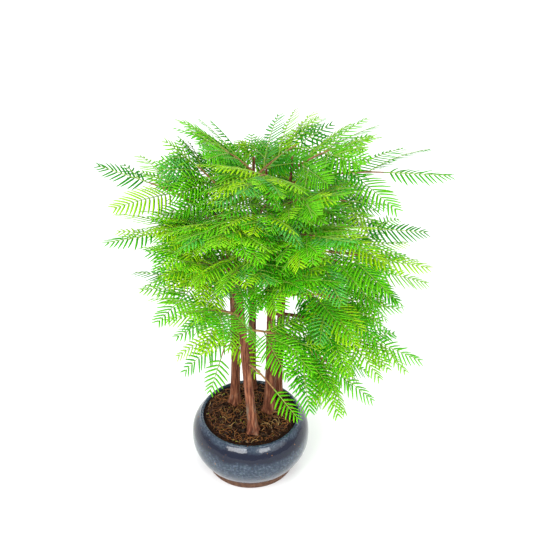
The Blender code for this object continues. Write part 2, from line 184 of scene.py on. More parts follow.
# What each new try takes off a frond's length, and adds to its looseness
SHRINKING, LOOSENING = 0.04, 0.5
RIB_RADIUS, RIB_TIP_RADIUS = mm(1.1), mm(0.45)
LEAFLET_LENGTH = mm(26)
LEAFLET_SPACING = mm(16.5)
SHORT_FROND_SHARE = 0.45
LEAFLET_ANGLE = 56
LEAFLET_DROOP = 0.1
FOOT_SHARE, FOOT_GAIN, TIP_LOSS, TIP_LOSS_POWER = 0.62, 1.5, 0.68, 2.4
LEAST_PAIRS = 3
BARE_SHARE = 0.09
TRIES = 12

# Leaflets at their real size, with rings along each as (share of its length, share of its width)
REAL_SPACING, REAL_LEAFLET, REAL_WIDTH = mm(5.4), mm(25), mm(2.9)
LEAFLET_STATIONS = ((0.0, 0.42), (0.18, 1.0), (0.6, 0.92), (0.88, 0.55))
KEEL = mm(0.3)
FEWEST_LEAFLETS, STALK_SHARE = 5, 0.07
# A leaflet's angle to the rib at the frond's foot, and how far it closes towards the frond's tip
FOOT_ANGLE, CLOSING, CLOSING_POWER, ANGLE_PLAY = 74, 38, 1.5, 5
DIP_PLAY, PLACE_PLAY, LENGTH_PLAY = (0.02, 0.2), mm(0.6), (0.9, 1.08)
# Leaflets are longer on longer fronds, and narrower where they are short
SHORT_REAL_SHARE, REAL_GROWTH, LONGEST_SHARE, NARROW_SHARE = 0.5, 0.6, 1.12, 0.55
SWEEP, HANG = 0.14, 0.10

# The finer twigs
RIB_SIDES, RIB_STATIONS = 4, 7
REAL_RIB_RADIUS, REAL_RIB_TIP_RADIUS = mm(0.85), mm(0.3)
REAL_STEM_SIDES, REAL_STEM_STATIONS, REAL_STEM_TIP_RADIUS = 8, 14, mm(0.8)

# The finer fronds: some fill the stem, and the others leave a frond of the solid as opposite twins
FINE_SIZE = 0.86
FILL_SEED, FILL_STEPS, FILL_INSET = 11, 6, 0.8
FILL_LENGTH, FILL_PLAY, FILL_LOOSENESS = mm(72), (0.75, 1.2), 2.6
TWIN_SHARES = (0.18, 0.36)
TWIN_LENGTH, TWIN_PLAY = 0.55, (0.82, 1.12)
TWIN_ANGLES, TWIN_LIFT, TWIN_ROLL = (36, 52), (-0.22, 0.16), 0.3
TWIN_TURN, TWIN_DROOP = 0.3, (0.15, 0.5)
DRAWING_IN = 0.94
# How much of the finer growth a branch carries: less where the photo shows sky or trunk through it
FULLNESS = dict(
    left_long=0.12, left_arch=0.12, left_low=0.22, left_skirt=0.05, left_drop=0.12, left_behind=0.6,
    left_shoulder=0.3, left_top=0.45,
    front_high_left=0.35, front_left=0.35, front_cross=0.85, front_low=0.0,
    middle_side=0.25, middle_arch=0.5, middle_low=0.7, middle_reach=0.5, middle_skirt=0.4,
    right_long=0.15, right_fan=0.45, right_behind=0.8, right_side=0.7, right_thin=0.2, right_low=0.4,
    right_skirt=0.35, right_low_behind=0.6,
    back_fan=0.7, back_left=0.85, back_low=0.95, back_right=0.45,
)
# Where along a finer frond its clearance and the view past it are tested
CLEARANCE_SHARES, VIEW_SHARES = (0.35, 0.6, 0.85, 1.0), (0.3, 0.65, 1.0)
TRUNK_CLEARANCE, SOIL_CLEARANCE = mm(5), mm(10)
# The view from the front down to the lower trunks, which the finer growth leaves open
VIEW_SLOPE, VIEW_HALF_WIDTH = 0.71, mm(15)
VIEW_HEIGHT, VIEW_BELOW = mm(200), mm(25)
VIEW_TOPS = dict(front=mm(300), left=mm(290), middle=mm(175), right=mm(165), back=mm(150))

# The greens of the leaves, each (colour, how often it is dealt), and where other shares hold
GREENS = {
    "leaf_bright": ((0.135, 0.60, 0.008), 4),
    "leaf_yellow_green": ((0.36, 0.76, 0.008), 1.6),
    "leaf_grass": ((0.070, 0.47, 0.006), 3),
    "leaf_deep": ((0.020, 0.27, 0.003), 1),
    "leaf_blue": ((0.100, 0.47, 0.070), 0.8),
    "leaf_lime": ((0.25, 0.70, 0.014), 1.6),
    "leaf_gold": ((0.66, 0.60, 0.020), 0),
}
FRONT, UPPER_LEFT, UPPER_HEIGHT, FAR_RIGHT = mm(20), mm(-20), mm(400), mm(50)
HEART, HEART_RADIUS, HEART_TOP = (mm(20), mm(30)), mm(62), mm(400)

# The bark: its relief as a share of a limb's radius, and ridges that drift round it as they rise
TRUNK_RELIEF, BOUGH_RELIEF = 0.11, 0.13
DRIFT, DRIFT_ALONG, DRIFT_SLICE = 0.9, 14, 7.0
COARSE, COARSE_ROUND, COARSE_ALONG = 0.65, 2.6, 22
FINE, FINE_ROUND, FINE_ALONG = 0.45, 6.5, 60
LAST_SEED = 50
TRUNK_SIDES, TRUNK_STATIONS = 40, 150
BOUGH_SIDES, BOUGH_STATIONS, BOUGH_STEP = 16, 26, mm(10)

# The stage. A lamp: name, place, (width, height), power
FLOOR_HALF, FLOOR_DROP, FLOOR_TONE = 4.0, mm(0.2), (0.93, 0.93, 0.93)
LAMPS = (
    ("key", (-0.9, -1.3, 1.9), (0.9, 0.9), 19),
    ("fill", (1.5, -1.0, 1.2), (1.2, 1.2), 8),
    ("rim", (0.5, 1.6, 1.6), (1.0, 1.0), 12),
    ("left_window", (-0.58, -1.22, 0.80), (0.85, 0.28), 9),
    ("right_window", (0.62, -1.22, 0.84), (0.6, 0.28), 6),
)
LAMP_AIM = Vector((0, 0, 0.22))
CAMERA_PLACE, CAMERA_TILT = (0.0205, -1.1435, 1.1246), 54.5
SENSOR, LENS = 36.0, 81.05


# Materials
class Nodes:
    """One material and a short way to build its node tree."""

    def __init__(self, name, roughness):
        self.made = bpy.data.materials.new(name)
        self.made.use_nodes = True
        self.tree = self.made.node_tree
        self.shader = self.tree.nodes["Principled BSDF"]
        self.shader.inputs["Roughness"].default_value = roughness

    def set(self, **values):
        """Fixed values of the shader's inputs, with _ for each space in a name."""
        for name, value in values.items():
            self.shader.inputs[name.replace("_", " ")].default_value = value

    def add(self, kind, inputs, **settings):
        """A node, with a value or a linked socket for each input."""
        node = self.tree.nodes.new(kind)
        for name, value in settings.items():
            setattr(node, name, value)
        for name, value in inputs.items():
            socket = node.inputs[name]
            if isinstance(value, bpy.types.NodeSocket):
                self.tree.links.new(value, socket)
            else:
                socket.default_value = value
        return node

    def place(self, scale=(1, 1, 1)):
        """Object coordinates, stretched."""
        where = self.add("ShaderNodeTexCoord", {}).outputs["Object"]
        return self.add("ShaderNodeMapping", {"Vector": where, "Scale": scale}).outputs["Vector"]

    def noise(self, place, scale, detail=4, rough=0.6):
        inputs = {"Vector": place, "Scale": scale, "Detail": detail, "Roughness": rough}
        return self.add("ShaderNodeTexNoise", inputs).outputs["Fac"]

    def ramp(self, fac, *stops):
        """Colours by fac: each stop is (position, colour)."""
        node = self.add("ShaderNodeValToRGB", {"Fac": fac})
        points = node.color_ramp.elements
        while len(points) < len(stops):
            points.new(0.5)
        for point, (position, value) in zip(points, stops):
            point.position = position
            point.color = (*value, 1)
        return node.outputs["Color"]

    def tint(self, tone, dark, light):
        """The base colour, from dark to light by a tone."""
        self.link(self.ramp(tone, (0.3, dark), (0.7, light)), "Base Color")

    def mix(self, fac, first, second):
        """Mixes by fac a first colour, which is a socket, with a second plain one."""
        inputs = {0: fac, 6: first, 7: (*second, 1)}
        return self.add("ShaderNodeMix", inputs, data_type="RGBA").outputs[2]

    def steps(self, value, low, high):
        """0 below low, 1 above high."""
        inputs = {"Value": value, "From Min": low, "From Max": high}
        return self.add("ShaderNodeMapRange", inputs).outputs["Result"]

    def arithmetic(self, operation, first, second):
        return self.add("ShaderNodeMath", {0: first, 1: second}, operation=operation).outputs[0]

    def link(self, socket, name):
        self.tree.links.new(socket, self.shader.inputs[name])

    def bump(self, height, distance, strength=1.0, layers=("Normal",)):
        inputs = {"Height": height, "Distance": distance, "Strength": strength}
        normal = self.add("ShaderNodeBump", inputs).outputs["Normal"]
        for layer in layers:
            self.link(normal, layer)


def leaf_material(name, base):
    """A plain green that lets a little light through."""
    made = Nodes(name, 0.5)
    made.set(Base_Color=(*base, 1), Specular_IOR_Level=0.08)
    made.set(Subsurface_Weight=0.25, Subsurface_Radius=(0.3, 1.0, 0.1), Subsurface_Scale=0.002)
    return made.made


def rib_material():
    made = Nodes("rib_green", 0.5)
    made.set(Base_Color=(0.22, 0.40, 0.035, 1))
    return made.made


def twig_material():
    made = Nodes("twig_bark", 0.7)
    tone = made.noise(made.place(), scale=260)
    made.tint(tone, (0.16, 0.065, 0.022), (0.36, 0.19, 0.065))
    return made.made


def bark_material():
    """Fibrous red-brown bark in long strips, with grey-green patches."""
    made = Nodes("trunk_bark", 0.85)
    made.set(Specular_IOR_Level=0.2)
    strips = made.noise(made.place((1, 1, 0.09)), scale=420, detail=6, rough=0.65)
    base = made.ramp(
        strips,
        (0.30, (0.022, 0.006, 0.004)),
        (0.46, (0.105, 0.030, 0.015)),
        (0.58, (0.235, 0.085, 0.042)),
        (0.75, (0.42, 0.21, 0.125)),
    )
    patch = made.steps(made.noise(made.place((1, 1, 0.5)), scale=70), 0.56, 0.68)
    half = made.arithmetic("MULTIPLY", patch, 0.55)
    made.link(made.mix(half, base, (0.19, 0.17, 0.12)), "Base Color")
    made.bump(strips, mm(0.7))
    return made.made


def glaze_material():
    """Blue-grey glaze, finely mottled, with rust specks and a painted reflection: a near black band at the
    shoulder.
    """
    made = Nodes("pot_glaze", 0.22)
    made.set(Coat_Weight=0.6, Coat_Roughness=0.05, Specular_IOR_Level=0.1)
    place = made.place()
    fine = made.noise(place, scale=330, detail=8, rough=0.7)
    broad = made.noise(place, scale=38)
    body = made.ramp(
        fine,
        (0.32, (0.004, 0.009, 0.022)),
        (0.50, (0.022, 0.037, 0.064)),
        (0.66, (0.095, 0.125, 0.165)),
    )
    body = made.mix(made.steps(broad, 0.45, 0.8), body, (0.030, 0.046, 0.070))
    # The near black band at the shoulder is a painted reflection of the dark surroundings, mixed into the
    # base colour
    height = made.add("ShaderNodeSeparateXYZ", {"Vector": place}).outputs["Z"]
    wavy = made.arithmetic("ADD", height, made.arithmetic("MULTIPLY", broad, mm(16)))
    painted_reflection_band = made.ramp(
        made.steps(wavy, mm(58), mm(88)),
        (0.12, (0, 0, 0)),
        (0.35, (1, 1, 1)),
        (0.72, (1, 1, 1)),
        (0.90, (0, 0, 0)),
    )
    body = made.mix(painted_reflection_band, body, (0.001, 0.004, 0.018))
    specks = made.steps(made.noise(place, scale=190, detail=2, rough=0.4), 0.73, 0.76)
    body = made.mix(specks, body, (0.23, 0.10, 0.03))
    made.link(body, "Base Color")
    dents = made.noise(place, scale=95, detail=3, rough=0.5)
    made.bump(dents, mm(0.8), strength=0.5, layers=("Normal", "Coat Normal"))
    return made.made


def clay_material():
    made = Nodes("bare_clay", 0.9)
    tone = made.noise(made.place(), scale=300, detail=6)
    made.tint(tone, (0.045, 0.018, 0.010), (0.15, 0.072, 0.04))
    made.bump(tone, mm(0.4))
    return made.made


def soil_material():
    made = Nodes("potting_soil", 0.95)
    made.set(Specular_IOR_Level=0.1)
    tone = made.noise(made.place(), scale=420, detail=8, rough=0.75)
    base = made.ramp(
        tone,
        (0.36, (0.003, 0.001, 0.0005)),
        (0.55, (0.014, 0.005, 0.002)),
        (0.74, (0.12, 0.042, 0.011)),
    )
    made.link(base, "Base Color")
    made.bump(tone, mm(1.0))
    return made.made


def plain_material(name, base):
    """A small thing's colour, a little uneven."""
    made = Nodes(name, 0.85)
    tone = made.noise(made.place(), scale=500, detail=3)
    dark = [DARK_SHARE * part for part in base]
    light = [min(1.0, LIGHT_SHARE * part) for part in base]
    made.tint(tone, dark, light)
    return made.made


def materials_of(tones, make):
    return [make(name, base) for name, (base, _) in tones.items()]


# Meshes
def add_object(name, data):
    made = bpy.data.objects.new(name, data)
    bpy.context.scene.collection.objects.link(made)
    return made


def add_piece(name, mesh, materials, slot, *nodes, angle=None):
    """A piece that rides on the body and stands for the nodes it names. Edges over angle stay sharp."""
    mesh.name = name
    for material in materials:
        mesh.materials.append(material)
    if angle is not None:
        mesh.shade_smooth()
        mesh.set_sharp_from_angle(angle=math.radians(angle))
    made = add_object(name, mesh)
    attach(made, BODY)
    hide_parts(*nodes)


def mesh_from(points, faces, kinds=None):
    """A mesh of triangles, with the material of each if there are several."""
    mesh = bpy.data.meshes.new("made")
    mesh.vertices.add(len(points))
    mesh.vertices.foreach_set("co", np.asarray(points, np.float32).ravel())
    mesh.loops.add(faces.size)
    mesh.loops.foreach_set("vertex_index", np.asarray(faces, np.int32).ravel())
    mesh.polygons.add(len(faces))
    mesh.polygons.foreach_set("loop_start", np.arange(0, faces.size, 3, dtype=np.int32))
    if kinds is not None:
        mesh.polygons.foreach_set("material_index", np.asarray(kinds, np.int32))
    mesh.update(calc_edges=True)
    return mesh


class Heap:
    """Many small meshes of triangles, each with a material index, to join into one."""

    def __init__(self):
        self.points, self.faces, self.kinds, self.count = [], [], [], 0

    def add(self, points, faces, kind):
        self.points.append(np.asarray(points, float).reshape(-1, 3))
        self.faces.append(np.asarray(faces, int) + self.count)
        self.kinds.append(np.full(len(faces), kind))
        self.count += len(self.points[-1])

    def mesh(self):
        return mesh_from(*map(np.concatenate, (self.points, self.faces, self.kinds)))


def unit(rows):
    return rows / np.maximum(np.linalg.norm(rows, axis=-1, keepdims=True), 1e-12)


def tube(path, radii, sides):
    """Points and triangles of a closed tube along a path."""
    path = np.asarray(path, float)
    ahead = unit(np.gradient(path, axis=0))
    start = (0, 0, 1) if abs(ahead[0][2]) < 0.9 else (1, 0, 0)
    across = unit(np.cross(ahead, start))
    over = np.cross(across, ahead)
    turn = np.linspace(0, math.tau, sides, endpoint=False)
    rings = across[:, None] * np.cos(turn)[:, None] + over[:, None] * np.sin(turn)[:, None]
    points = path[:, None] + rings * np.asarray(radii, float)[:, None, None]
    return points.reshape(-1, 3), tube_faces(len(path), sides)


def bands(first, rings, sides):
    """Triangles between rings of points that follow each other, from the first point on."""
    faces = []
    for low in range(first, first + (rings - 1) * sides, sides):
        for k in range(sides):
            a, b = low + k, low + (k + 1) % sides
            faces += [(a, b, b + sides), (a, b + sides, a + sides)]
    return faces


def tube_faces(stations, sides):
    """Triangles of a tube of rings with flat ends."""
    last = (stations - 1) * sides
    faces = bands(0, stations, sides)
    for k in range(1, sides - 1):
        faces += [(0, k + 1, k), (last, last + k, last + k + 1)]
    return np.array(faces)


def turned_faces(rings, turns):
    """Triangles of a turned body: a point on the axis, rings of points, and another on the axis."""
    last = 1 + (rings - 1) * turns
    faces = bands(1, rings, turns)
    for k in range(turns):
        following = (k + 1) % turns
        faces += [(0, 1 + following, 1 + k), (last + k, last + following, last + turns)]
    return np.array(faces)


def circle(sides):
    """(angle, x, y) of points round a circle."""
    angles = [math.tau * k / sides for k in range(sides)]
    return [(angle, math.cos(angle), math.sin(angle)) for angle in angles]


# The rule of growth, as in the solids
def spread(first, last, count):
    """count values from first to last, both included."""
    return [first + (last - first) * k / (count - 1) for k in range(count)]


def trunk_share(trunk, height):
    return (height - GROUND) / (mm(trunk.height) - GROUND)


def trunk_point(trunk, height):
    """The middle of the trunk at this height."""
    share = trunk_share(trunk, height)
    bow = math.sin(math.pi * share)
    places = zip(trunk.foot, trunk.top, trunk.bow)
    x, y = (mm(foot + (top - foot) * share + most * bow) for foot, top, most in places)
    return Vector((x, y, height))


def trunk_radius(trunk, height):
    share = trunk_share(trunk, height)
    return TRUNK_TIP_RADIUS + (mm(trunk.radius) - TRUNK_TIP_RADIUS) * (1 - share**TAPER)


class Course:
    """The curve of a branch, from its trunk's bark at 0 to its furthest leaf tip at 1."""

    def __init__(self, branch):
        trunk = TRUNKS[branch.trunk]
        height = mm(branch.height)
        angle = math.radians(branch.heading)
        self.out = Vector((math.cos(angle), math.sin(angle), 0))
        middle = trunk_point(trunk, height)
        self.start = middle + self.out * (trunk_radius(trunk, height) + GAP + LEAN_ROOM)
        self.tip = middle + self.out * mm(branch.reach) + UP * mm(branch.rise)
        half = self.start.lerp(self.tip, LIFT_PLACE)
        self.lift = half + UP * (BRANCH_LIFT * mm(branch.reach))
        self.long = mm(branch.reach) > LONG_BRANCH

    def point(self, t):
        return self.start.lerp(self.lift, t).lerp(self.lift.lerp(self.tip, t), t)

    def heading(self, t):
        return (self.lift - self.start).lerp(self.tip - self.lift, t).normalized()

    def speed(self, t):
        """Metres travelled for each unit of t."""
        return 2 * (self.lift - self.start).lerp(self.tip - self.lift, t).length


def ring(bm, middle, across, over, radius, sides):
    """A loop of vertices round middle, in the plane of two unit vectors."""
    return [bm.verts.new(middle + (across * x + over * y) * radius) for _, x, y in circle(sides)]


def bridge(bm, rings):
    """Skins a list of equal rings and caps both ends."""
    sides = len(rings[0])
    for low, high in zip(rings, rings[1:]):
        for k in range(sides):
            bm.faces.new((low[k], low[(k + 1) % sides], high[(k + 1) % sides], high[k]))
    bm.faces.new(rings[0][::-1])
    bm.faces.new(rings[-1])


def stem_of(course, first):
    """The stem of a mass, from where its bough ends or from its trunk."""
    bm = bmesh.new()
    rings = []
    for share in spread(0, 1, STEM_STATIONS):
        t = first + (STEM_SHARE - first) * share
        ahead = course.out if t == 0 else course.heading(t)
        across = ahead.cross(UP).normalized()
        over = across.cross(ahead)
        radius = STEM_RADIUS + (STEM_TIP_RADIUS - STEM_RADIUS) * share
        rings.append(ring(bm, course.point(t), over, across, radius, STEM_SIDES))
    bridge(bm, rings)
    return bm


def leaflet_share(u):
    """How long the leaflets are at this share of the frond: short at its foot, longest before the middle."""
    return min(1.0, FOOT_SHARE + FOOT_GAIN * u) * (1 - TIP_LOSS * u**TIP_LOSS_POWER)


class Frond:
    """A frond's place: its curve, and which way its face looks."""

    def __init__(self, root, ahead, over, length, bend):
        self.root, self.ahead, self.over, self.length, self.bend = root, ahead, over, length, bend
        self.knee = root + ahead * (0.5 * length)
        self.tip = self.knee + (ahead + bend).normalized() * (0.5 * length)

    def station(self, u):
        """(middle, along, side, top) at share u of the frond."""
        middle = self.root.lerp(self.knee, u).lerp(self.knee.lerp(self.tip, u), u)
        along = (self.knee - self.root).lerp(self.tip - self.knee, max(u, 0)).normalized()
        side = along.cross(self.over).normalized()
        return middle, along, side, side.cross(along)

    def blade(self):
        """The toothed blade of the solid, which keeps this frond's space."""
        pairs = max(LEAST_PAIRS, round(self.length * (1 - BARE_SHARE) / LEAFLET_SPACING))
        size = SHORT_FROND_SHARE + (1 - SHORT_FROND_SHARE) * self.length / FROND_LENGTH
        full = LEAFLET_LENGTH * min(1, size)
        bm = bmesh.new()
        shares = [-FROND_ROOT / self.length] + spread(BARE_SHARE, 1, pairs + 1)
        stations = [self.station(u) for u in shares]
        rings = []
        for u, (middle, _, side, top) in zip(shares, stations):
            radius = RIB_RADIUS + (RIB_TIP_RADIUS - RIB_RADIUS) * max(u, 0)
            rings.append(ring(bm, middle, top, side, radius, 3))
        bridge(bm, rings)
        angle = math.radians(LEAFLET_ANGLE)
        for k in range(1, pairs + 1):
            reach = full * leaflet_share((shares[k] + shares[k + 1]) / 2)
            middle = (stations[k][0] + stations[k + 1][0]) / 2
            _, along, side, top = stations[k]
            for corner, sign in ((0, 1), (2, -1)):
                low, high, following = rings[k], rings[k + 1], (corner + 1) % 3
                corners = {low[corner], low[following], high[corner], high[following]}
                face = next(f for f in low[corner].link_faces if set(f.verts) == corners)
                away = side * (sign * math.sin(angle)) + along * math.cos(angle)
                poked = bmesh.ops.poke(bm, faces=[face])["verts"][0]
                poked.co = middle + away * reach - top * (LEAFLET_DROOP * reach)
        return bm


def tree_of(bm):
    tree = BVHTree.FromBMesh(bm, epsilon=GAP)
    bm.free()
    return tree


class Mass:
    """A growing mass of foliage: its stem, its fronds and the space that they take."""

    def __init__(self, branch):
        self.branch = branch
        self.course = Course(branch)
        self.random = random.Random(branch.name)
        self.first = 0
        if self.course.long:
            self.first = BOUGH_SHARE + GAP / self.course.speed(BOUGH_SHARE)
        self.trees = [tree_of(stem_of(self.course, self.first))]
        self.fronds = []

    def grow_next(self, turn, blocked):
        """The frond at the end grows first, then the pairs from the foot outwards."""
        if turn < 0:
            self.grow(STEM_SHARE - END_SINK, 0, blocked)
        elif turn < 2 * self.branch.pairs:
            share = (turn // 2 + FIRST_PAIR) / self.branch.pairs
            self.grow(self.first + (STEM_SHARE - self.first) * share, 1 - 2 * (turn % 2), blocked)

    def fade(self, t):
        """How far along the stem t is, from 0 to 1."""
        return (t - self.first) / (STEM_SHARE - self.first)

    def propose(self, t, side, length, loose, chance):
        """A frond at t on the course: side is -1 or 1 for a side frond and 0 for the one at the end."""
        heading = self.course.heading(t)
        over = heading.cross(UP).normalized().cross(heading)
        aside = over.cross(heading).normalized()
        bend = heading * (FROND_TURN * abs(side)) - UP * (FROND_DROOP * abs(side))
        opening = FIRST_SPREAD + (LAST_SPREAD - FIRST_SPREAD) * self.fade(t)
        angle = side * math.radians(opening + chance.uniform(-SPREAD_PLAY, SPREAD_PLAY) * loose)
        pitch = chance.uniform(*PITCH_PLAY) * loose * abs(side)
        roll = chance.uniform(-ROLL_PLAY, ROLL_PLAY) * loose * (1 if side else END_ROLL_SHARE)
        ahead = heading * math.cos(angle) + aside * math.sin(angle) + UP * pitch
        facing = (over + aside * (roll + SIDE_ROLL * side)).normalized()
        return Frond(self.course.point(t), ahead.normalized(), facing, length, bend)

    def side_length(self, t):
        size = SHORT_BRANCH_SHARE + (1 - SHORT_BRANCH_SHARE) * self.course.speed(0.5) / FULL_BRANCH
        return FROND_LENGTH * (1.0 - FROND_FADE * self.fade(t)) * min(1, size)

    def grow(self, t, side, blocked):
        """Adds a frond where it touches nothing: while it would, it is tried more loosely and shorter."""
        course = self.course
        length = self.side_length(t) if side else (course.tip - course.point(t)).length
        for attempt in range(TRIES):
            made_length = max(length * (1 - SHRINKING * attempt), LEAST_FROND)
            made = self.propose(t, side, made_length, 1 + LOOSENING * attempt, self.random)
            tree = tree_of(made.blade())
            if not any(other.overlap(tree) for other in blocked):
                self.fronds.append(made)
                self.trees.append(tree)
                return


def node_tree(name):
    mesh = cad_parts[name].data
    faces = [tuple(face.vertices) for face in mesh.polygons]
    return BVHTree.FromPolygons([v.co.copy() for v in mesh.vertices], faces, epsilon=GAP)


def grow_masses():
    """The masses with the fronds of the solids, taking turns as the solids do."""
    masses = [Mass(branch) for branch in BRANCHES]
    limbs = [node_tree(name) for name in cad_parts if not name.startswith("foliage_")]
    for turn in range(-1, 2 * max(branch.pairs for branch in BRANCHES)):
        for mass in masses:
            others = [tree for other in masses if other is not mass for tree in other.trees]
            mass.grow_next(turn, limbs + others)
    return masses


# The finer growth
def clear_of_trunks(made):
    """Whether a frond keeps its leaflets off the trunks, and its tip off the soil."""
    for u in CLEARANCE_SHARES:
        point = made.station(u)[0]
        for trunk in TRUNKS.values():
            if GROUND < point.z < mm(trunk.height):
                away = (point - trunk_point(trunk, point.z)).length
                if away < trunk_radius(trunk, point.z) + TRUNK_CLEARANCE:
                    return False
    return made.station(1)[0].z > GROUND + SOIL_CLEARANCE


def hides_a_trunk(made):
    """Whether a frond hangs before a lower trunk, seen from the front and above."""
    for u in VIEW_SHARES:
        point = made.station(u)[0]
        for name, trunk in TRUNKS.items():
            behind = trunk_point(trunk, VIEW_HEIGHT).y - point.y
            height = point.z - VIEW_SLOPE * behind
            if behind > 0 and GROUND - VIEW_BELOW < height < VIEW_TOPS[name]:
                if abs(point.x - trunk_point(trunk, max(height, GROUND)).x) < VIEW_HALF_WIDTH:
                    return True
    return False


def drawn_in(mass, made):
    """The frond, shortened where it would pass the furthest tip of the mass's own fronds."""
    start = mass.course.start
    reach = max((own.tip - start).length for own in mass.fronds)
    while (made.tip - start).length > reach:
        made = Frond(made.root, made.ahead, made.over, DRAWING_IN * made.length, made.bend)
    return made


def twins(made, chance):
    """Finer fronds that leave a frond in opposite pairs near its foot."""
    for share in TWIN_SHARES:
        middle, along, side, top = made.station(share)
        for sign in (-1, 1):
            angle = math.radians(chance.uniform(*TWIN_ANGLES))
            lift = chance.uniform(*TWIN_LIFT)
            ahead = along * math.cos(angle) + side * (sign * math.sin(angle)) + top * lift
            length = made.length * TWIN_LENGTH * chance.uniform(*TWIN_PLAY)
            facing = (top + side * chance.uniform(-TWIN_ROLL, TWIN_ROLL)).normalized()
            bend = along * TWIN_TURN - UP * chance.uniform(*TWIN_DROOP)
            yield Frond(middle, ahead.normalized(), facing, length, bend)


def fill(mass, chance):
    """More side fronds along the stem, between those of the solid."""
    steps = FILL_STEPS - 1 + 2 * FILL_INSET
    for k in range(FILL_STEPS):
        t = mass.first + (STEM_SHARE - mass.first) * (k + FILL_INSET) / steps
        for side in (-1, 1):
            length = FILL_LENGTH * chance.uniform(*FILL_PLAY)
            yield mass.propose(t, side, length, FILL_LOOSENESS, chance)


def sprays(mass):
    """All the fronds of a mass, each with the size of its leaflets and rib as a share."""
    chance = random.Random(f"{mass.branch.name} {FILL_SEED}")
    fine = []
    for made in mass.fronds:
        fine += twins(made, chance)
    fine += fill(mass, chance)
    full = FULLNESS.get(mass.branch.name, 1.0)
    fine = [child for child in fine if chance.random() < full and clear_of_trunks(child)]
    fine = [drawn_in(mass, child) for child in fine if not hides_a_trunk(child)]
    return [(made, 1.0) for made in mass.fronds] + [(made, FINE_SIZE) for made in fine]


def leaflet_rows(made, size, chance):
    """The leaflets of a frond in opposite pairs: arrays of roots, headings, ribs, tops and lengths."""
    count = max(FEWEST_LEAFLETS, round(made.length * (1 - STALK_SHARE) / REAL_SPACING))
    growth = min(LONGEST_SHARE, SHORT_REAL_SHARE + REAL_GROWTH * made.length / FROND_LENGTH)
    full = REAL_LEAFLET * size * growth
    rows = []
    for k in range(count):
        u = STALK_SHARE + (1 - STALK_SHARE) * (k + 0.5) / count
        middle, along, side, top = made.station(u)
        opening = FOOT_ANGLE - CLOSING * u**CLOSING_POWER
        for sign in (-1, 1):
            angle = math.radians(opening + chance.uniform(-ANGLE_PLAY, ANGLE_PLAY))
            out = side * (sign * math.sin(angle)) + along * math.cos(angle)
            out = out - top * chance.uniform(*DIP_PLAY)
            root = middle + along * chance.uniform(-PLACE_PLAY, PLACE_PLAY)
            length = full * leaflet_share(u) * chance.uniform(*LENGTH_PLAY)
            rows.append((root, out.normalized(), along, top, [length]))
    return map(np.array, zip(*rows))


def leaflets_of(made, size, chance):
    """Points and triangles of all leaflets of a frond, each swept forwards, keeled and closed."""
    roots, outs, alongs, tops, lengths = leaflet_rows(made, size, chance)
    width = 0.5 * REAL_WIDTH * (NARROW_SHARE + (1 - NARROW_SHARE) * lengths / REAL_LEAFLET)
    sweep = alongs * SWEEP - tops * HANG
    rows = []
    for share, wide in LEAFLET_STATIONS:
        middle = roots + outs * (share * lengths) + sweep * (share**2 * lengths)
        across = unit(np.cross(unit(outs + 2 * share * sweep), tops))
        rows.append(middle - across * (width * wide))
        rows.append(middle - tops * (KEEL * wide))
        rows.append(middle + across * (width * wide))
    rows.append(roots + outs * lengths + sweep * lengths)
    points = np.stack(rows, 1)
    starts = np.arange(len(points))[:, None, None] * len(rows)
    return points, (leaflet_faces() + starts).reshape(-1, 3)


def leaflet_faces():
    """Triangles of one leaflet: rings of three points and then its tip."""
    rings = len(LEAFLET_STATIONS)
    last = 3 * (rings - 1)
    faces = [(0, 2, 1)] + bands(0, rings, 3)
    faces += [(last + k, last + (k + 1) % 3, last + 3) for k in range(3)]
    return np.array(faces)[:, ::-1]


def dealt(chance, weights):
    """The place of one of several weights, drawn at random. One weight alone needs no draw."""
    if len(weights) == 1:
        return 0
    return chance.choices(range(len(weights)), weights)[0]


def often_of(tones):
    return [often for _, often in tones.values()]


def green_for(point, chance):
    """A frond's green: yellower at the front left, bluer at the upper left, deeper behind and inside."""
    weights = dict(zip(GREENS, often_of(GREENS)))
    if point.x < 0 and point.y < FRONT:
        weights.update(leaf_yellow_green=4.5, leaf_lime=3, leaf_deep=0.2)
    if point.x < UPPER_LEFT and point.z > UPPER_HEIGHT:
        weights.update(leaf_blue=3.5, leaf_yellow_green=0.6)
    if point.x > FAR_RIGHT and point.y > 0:
        weights.update(leaf_grass=5, leaf_deep=2.2, leaf_yellow_green=0.5)
    if math.hypot(point.x - HEART[0], point.y - HEART[1]) < HEART_RADIUS and point.z < HEART_TOP:
        weights.update(leaf_deep=5, leaf_grass=4, leaf_lime=0.8, leaf_gold=0.3)
    return dealt(chance, list(weights.values()))


def add_foliage(mass, greens, rib, twig):
    """The leaflets and the twigs of one mass, as two pieces that stand for its node."""
    chance = random.Random("leaves of " + mass.branch.name)
    node = "foliage_" + mass.branch.name
    leaves, twigs = Heap(), Heap()
    stem = [mass.course.point(t) for t in spread(mass.first, STEM_SHARE, REAL_STEM_STATIONS)]
    radii = spread(STEM_RADIUS, REAL_STEM_TIP_RADIUS, REAL_STEM_STATIONS)
    twigs.add(*tube(stem, radii, REAL_STEM_SIDES), 0)
    for made, size in sprays(mass):
        points, faces = leaflets_of(made, size, chance)
        leaves.add(points, faces, green_for(made.station(0.5)[0], chance))
        path = [made.station(u)[0] for u in spread(0, 1, RIB_STATIONS)]
        radii = spread(REAL_RIB_RADIUS * size, REAL_RIB_TIP_RADIUS, RIB_STATIONS)
        twigs.add(*tube(path, radii, RIB_SIDES), 1)
    add_piece(node + "_leaves", leaves.mesh(), greens, "foliage", node)
    add_piece(node + "_twigs", twigs.mesh(), [twig, rib], "bark", node)


